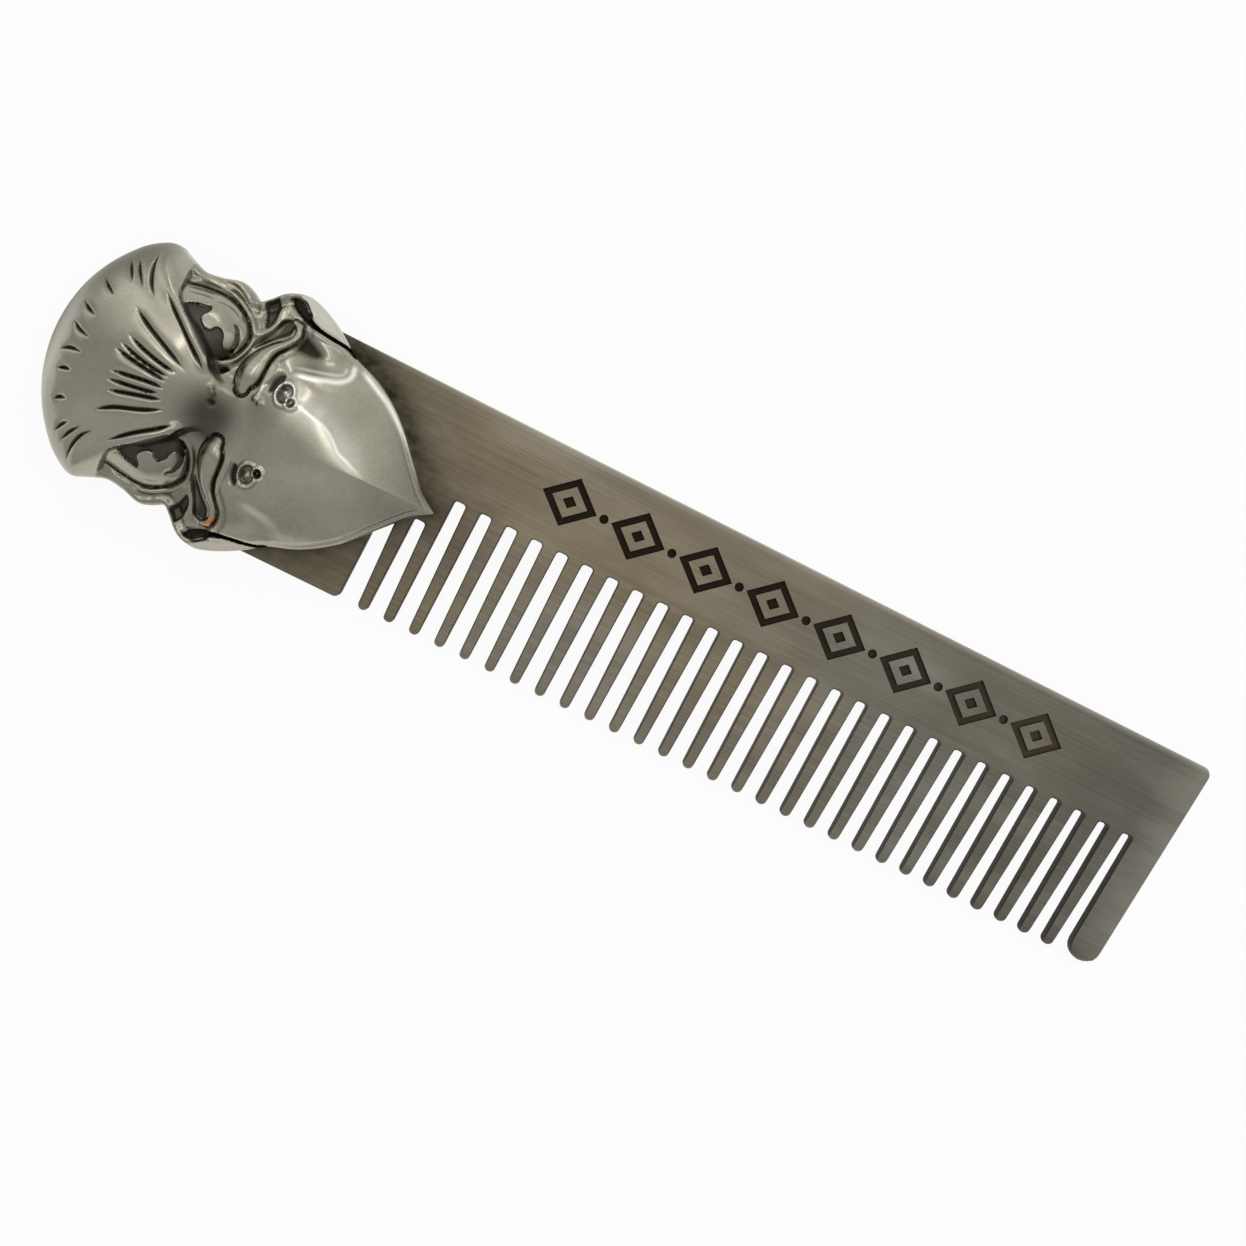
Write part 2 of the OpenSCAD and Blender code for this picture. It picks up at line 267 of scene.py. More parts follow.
headFinish = {
    "light": (0.445, 0.422, 0.342),
    "mid": (0.314, 0.295, 0.233),
    # colour of patina and of painted shade
    "recess": (0.03, 0.025, 0.02),
    # colour of polish and of painted highlight
    "highlightPolishColour": (0.96, 0.93, 0.85),
    "copper": (0.55, 0.27, 0.12),
    "roughness": (0.17, 0.25),
    "recessRoughness": (0.5, 0.5, 0.5),
}

screwFinish = {
    "dark": (0.2, 0.195, 0.18),
    "light": (0.42, 0.41, 0.39),
    "roughness": 0.36,
}


def plateAxes(tree):
    # place on the plate along X and Y
    place = addNode(tree, "ShaderNodeTexCoord")
    axes = addNode(tree, "ShaderNodeSeparateXYZ")
    tree.links.new(place.outputs["Object"], axes.inputs[0])
    return axes.outputs["X"], axes.outputs["Y"]


def brushedSteel():
    material, tree, metal = newMetal("brushedSteel")
    finish = plateFinish
    along, across = plateAxes(tree)
    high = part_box("comb_plate")[1]
    streaks = noise(tree, (60, 5200, 400), 4, 0.6, 2)
    patches = noise(tree, (70, 190, 100), 3, 0.5)
    hue = noise(tree, (38, 60, 100), 2, 0.5, 40)
    # brown near the head and grey at the far end
    hue = mixColour(tree, 0.5, hue, mapValue(tree, along, *finish["greyFrom"], 0.4, 0.66))
    colour = mixColour(tree, mapValue(tree, hue, 0.4, 0.6, 0, 1), finish["brown"], finish["grey"])
    grown = mapValue(tree, along, -0.01, high.x - 8 * mm, 0, finish["farDarkening"])
    colour = mixColour(tree, grown, colour, finish["farEndColour"])
    shade = mixColour(tree, 0.55, streaks, patches)
    darkest, lightest = finish["shades"]
    colour = mixColour(tree, 1, colour, ramp(tree, shade, (0.3, darkest), (0.7, lightest)), "MULTIPLY")
    # painted highlight, partly wear by hands: lighter along the spine and at the far end
    spine = mapValue(tree, across, high.y - 0.7 * mm, high.y - 0.1 * mm, 0, finish["spineHighlight"])
    farEnd = mapValue(tree, along, high.x - 5.5 * mm, high.x - 1 * mm, 0, 1)
    farEnd = mapValue(tree, mixColour(tree, 0.6, farEnd, patches), 0.3, 0.8, 0, finish["endHighlight"])
    colour = mixColour(tree, farEnd, colour, finish["polishAndHighlight"])
    colour = mixColour(tree, spine, colour, finish["polishAndHighlight"])
    # tarnish and painted shade, broken up a little
    spots = ramp(tree, noise(tree, (600, 900, 900), 4), (0.3, (0.8, 0.8, 0.8)), (0.7, (1.08, 1.08, 1.08)))
    tarnishAndShade = mixColour(tree, 1, fromMesh(tree, "tarnishAndShade"), spots, "MULTIPLY")
    colour = mixColour(tree, tarnishAndShade, colour, finish["tarnishAndShade"])
    tree.links.new(colour, metal.inputs["Base Color"])
    tree.links.new(mapValue(tree, streaks, 0.3, 0.7, *finish["roughness"]), metal.inputs["Roughness"])
    addBump(tree, metal, streaks, 0.012 * mm, 0.5)
    return material


def shadedWallSteel():
    # walls made near-black: partly dark antiquing, partly painted shade
    material, tree, metal = newMetal("shadedWallSteel")
    grain = noise(tree, (900, 900, 300), 3)
    tree.links.new(ramp(tree, grain, (0.3, plateFinish["etched"]), (0.8, plateFinish["wall"])),
                   metal.inputs["Base Color"])
    metal.inputs["Roughness"].default_value = 0.55
    addBump(tree, metal, grain, 0.02 * mm)
    return material


def etchedSteel():
    material, tree, metal = newMetal("etchedSteel")
    grain = noise(tree, (2500, 2500, 2500), 2)
    along = noise(tree, (25, 40, 40), 2)
    tone = mixColour(tree, 0.5, grain, along)
    colour = ramp(tree, tone, (0.3, plateFinish["etched"]), (0.75, plateFinish["wall"]))
    # the dark fill is worn out of it towards the far end
    bare = mapValue(tree, plateAxes(tree)[0], 0.012, 0.05, 0, 0.25)
    tree.links.new(mixColour(tree, bare, colour, plateFinish["brown"]), metal.inputs["Base Color"])
    metal.inputs["Roughness"].default_value = 0.7
    addBump(tree, metal, grain, 0.03 * mm)
    return material


def castPewter():
    material, tree, metal = newMetal("castPewter")
    patches = noise(tree, (160, 160, 160), 4)
    grain = noise(tree, (2200, 4200, 2200), 3)
    shade = mixColour(tree, 0.35, patches, grain)
    colour = ramp(tree, shade, (0.32, headFinish["mid"]), (0.7, headFinish["light"]))
    # dark colour of patina in the hollows and of painted shade
    darkPatinaAndShade = mapValue(tree, fromMesh(tree, "patinaAndShade"), 0.05, 0.9, 0, 1)
    colour = mixColour(tree, darkPatinaAndShade, colour, headFinish["recess"])
    # lighter colour of polish and of painted highlight lines
    colour = mixColour(tree, fromMesh(tree, "highlightPolish"), colour, headFinish["highlightPolishColour"])
    colour = mixColour(tree, fromMesh(tree, "copperWear"), colour, headFinish["copper"])
    tree.links.new(colour, metal.inputs["Base Color"])
    rough = mapValue(tree, patches, 0.3, 0.7, *headFinish["roughness"])
    tree.links.new(mixColour(tree, darkPatinaAndShade, rough, headFinish["recessRoughness"]), metal.inputs["Roughness"])
    addBump(tree, metal, grain, 0.006 * mm, 0.6)
    return material


def turnedSteel(centre):
    # rings left by turning, about the screw's own axis
    material, tree, metal = newMetal("turnedSteel")
    place = addNode(tree, "ShaderNodeTexCoord")
    move = addNode(tree, "ShaderNodeMapping", vector_type="POINT")
    move.inputs["Location"].default_value = (-centre.x, -centre.y, 0)
    rings = addNode(tree, "ShaderNodeTexWave", {"Scale": 1400.0, "Distortion": 1.2, "Detail": 2.0},
                    wave_type="RINGS", rings_direction="Z")
    tree.links.new(place.outputs["Object"], move.inputs["Vector"])
    tree.links.new(move.outputs[0], rings.inputs["Vector"])
    highlightAndWear = noise(tree, (700, 700, 700), 3)
    shade = mixColour(tree, 0.6, rings.outputs["Fac"], highlightAndWear)
    tree.links.new(ramp(tree, shade, (0.25, screwFinish["dark"]), (0.8, screwFinish["light"])),
                   metal.inputs["Base Color"])
    metal.inputs["Roughness"].default_value = screwFinish["roughness"]
    addBump(tree, metal, rings.outputs["Fac"], 0.01 * mm, 0.5)
    return material


def finishPiece(bm, name, materials, slotName, *nodeNames, sharp=30):
    mesh = bpy.data.meshes.new(name)
    bm.to_mesh(mesh)
    bm.free()
    for material in materials:
        mesh.materials.append(material)
    if sharp:
        mesh.set_sharp_from_angle(angle=math.radians(sharp))
    piece = bpy.data.objects.new(name, mesh)
    bpy.context.scene.collection.objects.link(piece)
    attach(piece, "root")
    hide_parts(*nodeNames)


# form of the head, in mm, drawn once and then fitted to the casting's box

headForm = {
    "length": 43.3,
    "width": 29.0,
    "height": 7.5,
    "rim": 1.2,
    # outline from the crown to the beak tip: how far along and how wide
    "halfOutline": [
        (0, 0), (0.6, 4.4), (2.2, 8.1), (4.6, 11.3), (6.6, 12.8), (8, 13.2), (9.2, 12.75), (11.2, 12),
        (13.2, 12.2), (15.2, 12.75), (16.6, 12.35), (17.7, 11.8), (18.7, 12.6), (20, 13.85), (22.2, 14.5),
        (24.7, 13.7), (27.2, 12.3), (28.9, 11.15), (32.4, 9.8), (35.7, 7.5), (38.7, 4.2), (41.2, 1.5),
        (43.3, 0),
    ],
    # height of the middle line at equal steps
    "ridgeHeights": [1.2, 4, 5.4, 6.4, 7, 7.4, 7.5, 6.7, 5.5, 5.9, 6.8, 7.3, 7.2, 6.6, 5.7, 4.7, 3.6, 2.4,
                     1.2],
}

headLow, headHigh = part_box("eagle_head")


def cubic(a, b, c, d, t):
    return (2 * b + (c - a) * t + (2 * a - 5 * b + 4 * c - d) * t ** 2
            + (3 * b - a - 3 * c + d) * t ** 3) / 2


def curveThrough(points, steps=8, before=None, after=None):
    # smooth curve through the points; every column of a point is carried along
    pts = np.array(points, float)
    first = 2 * pts[0] - pts[1] if before is None else np.array(before, float)
    last = 2 * pts[-1] - pts[-2] if after is None else np.array(after, float)
    pts = np.vstack([first, pts, last])
    t = np.linspace(0, 1, steps, endpoint=False)[:, None]
    parts = [cubic(pts[i - 1], pts[i], pts[i + 1], pts[i + 2], t) for i in range(1, len(pts) - 2)]
    return np.vstack(parts + [pts[-2:-1]])


outlineCurve = curveThrough(headForm["halfOutline"], 16, before=(0.6, -4.4))


def halfWidthAt(along):
    return np.interp(along, outlineCurve[:, 0], outlineCurve[:, 1])


def ease(low, high, value):
    t = np.clip((value - low) / (high - low), 0, 1)
    return t * t * (3 - 2 * t)


def bell(distance, width):
    return np.exp(-(distance / width) ** 2)


def tapered(share, fade):
    # 1 along a line, easing to 0 at both of its ends
    return ease(0, fade, share) * (1 - ease(1 - fade, 1, share))


def ridgeAt(along):
    h = np.array(headForm["ridgeHeights"])
    last = len(h) - 1
    g = np.clip(along / headForm["length"] * last, 0, last - 1e-6)
    i = np.floor(g).astype(int)
    return cubic(h[np.maximum(i - 1, 0)], h[i], h[i + 1], h[np.minimum(i + 2, last)], g - i)


def domeAt(along, across):
    # rounder over the crown, with a keel towards the beak tip
    t = np.minimum(across / np.maximum(halfWidthAt(along), 1e-6), 1)
    keel = ease(25.5, 37, along)
    bow = np.maximum(1 - t ** (2.3 - 1.17 * keel), 0) ** (0.6 + 0.25 * ease(20, 40, along))
    return headForm["rim"] + (ridgeAt(along) - headForm["rim"]) * bow


# carving of the head

carving = {
    # each point is (along, across) in mm
    # dark strokes between the feathers, on the +Y and -Y side
    "fan": [
        [(7.9, 5.8), (10, 4.6), (13.1, 3.2), (15.7, 2)],
        [(8.6, 3), (10.7, 2.25), (13.1, 1.7), (15, 1.55)],
        [(8.1, 2), (10.2, 1.35), (12.5, 0.95), (14.6, 0.85)],
        [(7.8, 1.25), (9.8, 0.8), (12.5, 0.5), (14.6, 0.3)],
        [(8.3, -1.15), (10.5, -0.8), (12.8, -0.45), (14.6, -0.4)],
        [(8.3, -2.05), (10.5, -1.75), (12.8, -1.35), (14.3, -0.95)],
        [(8.8, -3.15), (10.8, -2.55), (13.1, -1.9), (15, -1.4)],
        [(8.3, -5.7), (10.4, -4.35), (13.1, -3.3), (15.7, -2.05)],
        [(10.5, -8.2), (12.9, -6.1), (15.2, -4.4), (16.7, -3.1)],
        [(9.9, 8.6), (11.5, 7.25), (13.7, 5.6), (15.9, 3.8), (17.2, 2.65)],
    ],
    # short strokes around the crown
    "crown": [
        [(2.3, 3.9), (3.4, 3.3), (4.8, 2.95)],
        [(3.1, 6.95), (4.35, 6.1), (5.6, 5.6)],
        [(2.3, 1.75), (3.4, 1.05), (5.5, 0.7)],
        [(4.7, 9.9), (5.6, 8.6), (6.6, 7.55)],
        [(5.5, 10.4), (6.5, 8.9), (8.1, 7.4)],
        [(7.2, 12.3), (7.45, 10.2), (8.35, 8.3), (9.7, 7)],
        [(2.1, -1.8), (3.4, -1.05), (5.4, -0.9)],
        [(2.7, -3.65), (3.7, -3.15), (4.85, -3.05)],
        [(3.7, -6.75), (4.4, -6.05), (5.6, -5.8)],
        [(5, -9.75), (5.7, -8.5), (6.7, -7.65)],
        [(6, -10.4), (6.9, -8.75), (8.2, -7.35)],
        [(7.5, -12.3), (7.5, -10.3), (8.3, -8.4), (9.7, -7.15)],
    ],
    # brows, eyes, skin, mouth and beak, the same on both sides
    "browEdge": [(9.9, 13), (10.2, 11.8), (10.75, 10), (11.1, 9), (11.8, 8.2), (13, 7.25), (14.4, 6.4),
                 (15.65, 5.5), (16.5, 4.6), (17.15, 3.6), (17.65, 2.7), (18, 1.6), (18.1, 0), (18, -1.5)],
    "browRoll": [(8.4, 12.4, 1.5), (9.2, 10.6, 1.4), (10.5, 8.9, 1.1), (12, 7.6, 0.85), (14.2, 5.95, 0.75),
                 (16.1, 4.35, 0.65), (17.4, 2.9, 0.5)],
    "lid": [(10.6, 10), (11.3, 10.3), (12.5, 10.55), (14.15, 10.7), (15.65, 10.6), (16.75, 10.15),
            (17.75, 9.45), (18.5, 8.5), (18.75, 7.6), (18.6, 6.6), (18.2, 5.6), (17.6, 4.85), (17, 4.5)],
    "flame": [(12.1, 8.2), (12.9, 8.7), (13.7, 8.9), (14.4, 9.05), (14.6, 8.75), (14.5, 8.4), (14.2, 8),
              (14.2, 7.6), (14.5, 7.2), (15, 6.85), (15.5, 6.9), (15.75, 7.3), (16.1, 7.5), (16.5, 7.3),
              (16.85, 6.8), (17, 6.15), (17.3, 5.8), (17.7, 5.85), (17.9, 6.2), (18.05, 5.8), (17.8, 5),
              (17.2, 4.5), (16.5, 4.4), (15.8, 4.9), (14.7, 5.8), (13.4, 6.9), (12.4, 7.7)],
    # the eye's edge under the brow, which closes the line of the lid
    "eyeTop": [(15.6, 3.4), (14.2, 4.8), (12.6, 6), (11.2, 7.2), (10, 8.8)],
    "crescent": [(16.9, 8.65), (17.65, 7.95), (18.05, 7), (18.05, 6.1), (17.5, 5.35)],
    # fine creases in the outer corner of the eye
    "creases": [
        [(10.7, 9.6), (11.75, 10.05), (13.1, 10.3), (14.5, 10.2)],
        [(11, 9.15), (12.4, 9.6), (13.6, 9.8), (14.7, 9.8)],
        [(13.9, 9.5), (15.3, 9.85), (16.5, 9.6), (17.4, 9)],
    ],
    # ridges of loose skin, each point with its half-width
    "folds": [
        [(10.3, 11.15, 0.3), (12, 11.4, 0.3), (13.4, 11.5, 0.3), (14.8, 11.45, 0.3), (16.1, 10.95, 0.3),
         (17.3, 10.15, 0.3), (18.3, 9.3, 0.32), (18.9, 8.75, 0.34), (19.4, 8.65, 0.36), (20.05, 9.05, 0.38),
         (20.55, 9.75, 0.36), (20.65, 10.6, 0.36), (20.5, 11.5, 0.4), (20.4, 12.4, 0.45),
         (20.2, 13.4, 0.5)],
        [(12.2, 12.1, 0.2), (13.6, 12.25, 0.24), (15, 12.4, 0.26), (16, 12, 0.26), (16.9, 11.3, 0.26),
         (17.8, 10.55, 0.24), (18.35, 10.35, 0.22), (18.4, 11, 0.2), (18.3, 11.6, 0.16)],
    ],
    # hollows between them
    "pocket": [(18.3, 11.75), (18.8, 12.4), (19.35, 13), (19.8, 12.6), (20.15, 11.65), (20.25, 10.6),
               (20, 9.75), (19.6, 9.45), (19.25, 10.1), (18.95, 10.85)],
    "leaf": [(19.45, 7.1), (19.7, 8.5), (20.3, 9.65), (20.75, 10.75), (21.15, 11.4), (21.8, 11.55),
             (22.3, 11.2), (22.45, 10.5), (22, 9.65), (21.2, 8.8), (20.3, 7.75)],
    # middle line of a wattle with its half-width
    "wattle": [(20.75, 3.05, 0.85), (20.7, 3.7, 1.15), (20.78, 4.6, 1.32), (20.97, 5.8, 1.18),
               (21.25, 7, 0.85), (21.8, 8, 0.58), (22.6, 8.9, 0.42), (23.2, 9.8, 0.38), (23.3, 10.6, 0.42),
               (22.95, 11.2, 0.4), (22.4, 11.4, 0.3)],
    "mouth": [(20.85, 13.5), (21.25, 12.95), (21.95, 12.45), (23, 12), (24.15, 11.68), (25.35, 11.55),
              (26.5, 11.42), (27.5, 11.36), (28.2, 11.3), (28.2, 11.5), (27.4, 11.68), (26.6, 11.76),
              (25.3, 11.9), (24.2, 12.2), (23.05, 12.75), (22.1, 13.4), (21.55, 13.7), (21.1, 13.7)],
    "mouthLine": [(27, 11.55), (27.8, 11.45), (28.6, 11.2), (29.2, 10.9)],
    # bead around the corner of the mouth and along the beak's cutting edge
    "lip": [(22.2, 14.35, 0.3), (21.2, 14.4, 0.36), (20.45, 14, 0.4), (20.4, 13.3, 0.4), (20.85, 12.6, 0.34),
            (21.7, 12, 0.26), (22.8, 11.6, 0.2), (24, 11.3, 0.18), (25.6, 11.15, 0.18), (27.4, 11, 0.18),
            (28.6, 10.75, 0.18)],
    # flat outside of the lower jaw
    "jaw": [(21.5, 14), (22.15, 13.65), (23.1, 12.9), (24.25, 12.25), (25.35, 11.95), (26.65, 11.82),
            (28.2, 11.55), (29, 12.4), (27, 14.2), (24, 15.8), (21, 15.5)],
    # lines on which the beak bends: from the nostril to the keel, and around the hollow of the cheek
    "shoulder": [(23.4, 4.7), (25.2, 4.55), (26.9, 4.05), (28.15, 3.75), (29.5, 3.5), (30.6, 3), (31.6, 2.2),
                 (32.35, 1.5), (33.4, 1.1), (34.8, 0.5), (36, 0.2)],
    "cheekLine": [(24.5, 6.45), (25.6, 6.8), (26.75, 7.1), (27.85, 7.45), (28.9, 7.85), (29.6, 8.4),
                  (29.85, 9.1), (29.65, 9.8), (29.2, 10.3)],
    "edgeLine": [(29.9, 10.3), (31.2, 9.65), (32.5, 9), (33.9, 8.3), (35, 7.55), (36.7, 6.25), (38.2, 4.9),
                 (39.7, 3.3), (41.35, 1.45)],
    "dish": (26, 9, 3.2, 1.8, 1.05),            # along, across, its two half-sizes and its depth
    "cheekPocket": [(23.1, 9.4), (23.5, 10.9), (24.2, 11.4), (25.2, 11), (26.6, 10.2), (27.2, 9.3),
                    (26.2, 8.4), (24.8, 8.2), (23.6, 8.3)],
    "nostril": (25.15, 4.5, 0.95, 1.18),        # along, across, its two half-sizes
    "nostrilHole": (26.1, 3.95, 0.42),          # along, across, radius
    "nostrilPit": [(24.7, 6.1), (24.1, 5.85), (23.7, 5.2), (23.6, 4.4), (23.7, 3.7)],
    # marks on the +Y side only
    "wrinkle": [(21.7, 2.4, 0.16), (22.5, 2.9, 0.16), (22.6, 3.6, 0.16), (22.6, 4.4, 0.16), (23, 5.25, 0.16),
                (23.3, 6.4, 0.16), (22.9, 6.9, 0.16), (22.4, 7, 0.14)],
    "pit": [(17.7, 3.5), (18.05, 3.75), (18.3, 3.6)],
    "nubs": [(18.15, 1.75), (18.45, 1.3), (22.6, 2.75), (23.2, 2.55)],
    "smallPit": (18.65, 0.4),
    # painted shade in the saddle, and duller places, not the same on both sides
    "saddle": (19.1, -0.9, 3.1, 3.3),           # along, across, its two half-sizes
    "dull": [(26.3, 7.8, 1.6, 0.5), (23.4, 1.9, 2.2, 0.3)],     # along, across, radius, how dark
}

# how finely the head is divided, and how high and deep its marks are, in mm

carvingSizes = {
    "rows": 400,
    "columns": 224,
    "strokeWidth": 0.17,
    "strokeDepth": 0.4,
    "browHeight": 0.55,
    "faceDrop": 1.5,
    "eyeHeight": 0.95,
    "flameDepth": 0.42,
    "pocketDepth": 0.7,
    "leafDepth": 0.6,
    "foldHeight": 0.75,         # this and the next two, for each mm of half-width
    "lipHeight": 0.7,
    "wattleHeight": 0.75,
    "jawHeight": 1.7,
    "mouthDepth": 1.5,
    "nostrilDepth": 0.5,
}


class Relief:
    # heights of the head at points that lie along and across it, with its patina and painted shade, its
    # copper, and its polish and painted highlight
    def __init__(self, along, across):
        self.s, self.side, self.y = along, np.sign(across), np.abs(across)
        self.z = domeAt(self.s, self.y)
        self.patinaAndShade = np.zeros_like(self.z)
        self.copper = np.zeros_like(self.z)
        self.polishAndHighlight = np.zeros_like(self.z)
        self.edge = self.distance(outlineCurve)

    @staticmethod
    def toSegment(s, y, a, b):
        ds, dy = b[0] - a[0], b[1] - a[1]
        t = np.clip(((s - a[0]) * ds + (y - a[1]) * dy) / max(ds * ds + dy * dy, 1e-12), 0, 1)
        return np.hypot(s - a[0] - t * ds, y - a[1] - t * dy), t

    def near(self, points, reach, signed=False, steps=8):
        # the points of the relief within reach of a curve: how far from it they are, how far
        # along it, its width there and which side they are on
        curve = curveThrough(points, steps)
        y = self.y * self.side if signed else self.y
        box = ((self.s > curve[:, 0].min() - reach) & (self.s < curve[:, 0].max() + reach)
               & (y > curve[:, 1].min() - reach) & (y < curve[:, 1].max() + reach))
        found = np.flatnonzero(box)
        s, y = self.s[found], y[found]
        best = np.full(len(found), 99.0)
        share = np.zeros(len(found))
        width = np.zeros(len(found))
        left = np.zeros(len(found))
        count = len(curve) - 1
        for i in range(count):
            d, t = self.toSegment(s, y, curve[i], curve[i + 1])
            closer = d < best
            best = np.where(closer, d, best)
            share = np.where(closer, (i + t) / count, share)
            a, b = curve[i], curve[i + 1]
            left = np.where(closer, (b[0] - a[0]) * (y - a[1]) - (b[1] - a[1]) * (s - a[0]), left)
            if curve.shape[1] > 2:
                width = np.where(closer, curve[i, 2] + (curve[i + 1, 2] - curve[i, 2]) * t, width)
        return found, best, share, width, left > 0

    def within(self, corners):
        # which points lie inside a polygon
        odd = np.zeros(len(self.s), bool)
        for a, b in zip(corners, np.roll(corners, -1, axis=0)):
            crosses = (a[1] > self.y) != (b[1] > self.y)
            at = a[0] + (self.y - a[1]) / ((b[1] - a[1]) or 1e-9) * (b[0] - a[0])
            odd ^= crosses & (self.s < at)
        return odd

    def distance(self, curve):
        best = np.full(len(self.s), 99.0)
        for a, b in zip(curve[:-1], curve[1:]):
            best = np.minimum(best, self.toSegment(self.s, self.y, a, b)[0])
        return best

    def inside(self, points):
        # distance to a closed outline, above 0 inside it
        curve = curveThrough(list(points) + [points[0]], 5, before=points[-1], after=points[1])
        best = self.distance(curve)
        return np.where(self.within(curve), best, -best)

    def past(self, points, corners):
        # distance to an open line, above 0 on the side away from the corners
        curve = curveThrough(points, 6)
        best = self.distance(curve)
        return np.where(self.within(np.vstack([curve, corners])), -best, best)

    def weaker(self, other, found=slice(None)):
        # 1 on the +Y side and other on the -Y side
        return np.where(self.side[found] < 0, other, 1)

    # darkens the patina channel: real patina in hollows, and painted shade where a caller puts it
    def stainAndShade(self, amount, found=slice(None)):
        self.patinaAndShade[found] = np.maximum(self.patinaAndShade[found], amount)

    def highlightAndWear(self, amount, found=slice(None), other=0.25):
        # polish by use, and painted highlight: lighter lines and places, fainter on the -Y side
        self.polishAndHighlight[found] = np.maximum(self.polishAndHighlight[found], amount * self.weaker(other, found))

    def stroke(self, points, width, depth, dark=1.0, signed=False, fade=0.16, other=1):
        # tapered groove with dark patina in it
        found, d, share, *_ = self.near(points, width * 8, signed)
        taper = tapered(share, fade) * self.weaker(other, found)
        thin = width * (0.35 + 0.65 * taper)
        self.z[found] -= depth * taper * bell(d, thin)
        self.z[found] -= depth * 0.35 * taper * bell(d, width * 3)
        self.stainAndShade(dark * ease(0, 0.5, taper) * bell(d, thin), found)

    def bead(self, points, height, signed=False, fade=0.1, shine=0.0, other=1):
        # soft raised line as wide as its points say, rubbed clean of patina by its shine
        found, d, share, width, _ = self.near(points, 1.5, signed)
        taper = tapered(share, fade) * self.weaker(other, found)
        raised = taper * bell(d, width)
        self.z[found] += height * width * raised
        self.patinaAndShade[found] *= 1 - shine * raised

    def crest(self, points, height, right, left, soft=0.12, fade=0.15, echo=0):
        # line on which the surface bends, with how far it is felt on either side,
        # and a painted highlight, partly polish, along it, with a fainter one beside it
        found, d, share, _, onLeft = self.near(points, 3 * max(right, left), steps=16)
        taper = tapered(share, fade)
        reach = np.where(onLeft, left, right)
        felt = np.exp((soft - np.hypot(d, soft)) / reach) * (1 - ease(0.8 * reach, 2.4 * reach, d))
        self.z[found] += height * self.weaker(0.15, found) * taper * felt
        shine = np.maximum(bell(d, 0.26), 0.45 * echo * onLeft * bell(d - 0.75, 0.16))
        self.highlightAndWear(taper * shine, found, other=0.05)

    def bend(self, points, drop, reach, fade=3):
        # line across which, going outward, the surface falls away more
        line = curveThrough(points)
        d = 0.9 * (self.y - np.interp(self.s, line[:, 0], line[:, 1]))
        first, last = line[0, 0], line[-1, 0]
        taper = ease(first, first + fade, self.s) * (1 - ease(last - fade, last, self.s))
        beyond = (d + np.hypot(d, 0.1)) / 2
        self.z -= (drop * self.weaker(0.4) * taper * (1 - np.exp(-beyond / reach))
                   * bell(beyond, 2.2 * reach))
        # painted highlight, partly polish: a line on the bend and a soft glow beside it, on the +Y side only
        self.highlightAndWear(taper * np.maximum(0.85 * bell(d, 0.2), 0.3 * bell(d - 0.3, 1.4)), other=0)

    def hollow(self, points, depth, dark, soft=0.45, other=1):
        # soft-edged hollow inside a closed outline, on the -Y side times other
        sunk = ease(-0.05, soft, self.inside(points)) * self.weaker(other)
        self.z -= depth * sunk
        self.stainAndShade(dark * sunk)

    def dent(self, along, across, radius, depth, dark, signed=False):
        # round pit, or a nub for a depth below 0
        y = self.y * self.side if signed else self.y
        pit = bell(np.hypot(self.s - along, y - across), radius)
        self.z -= depth * pit
        self.stainAndShade(dark * pit)


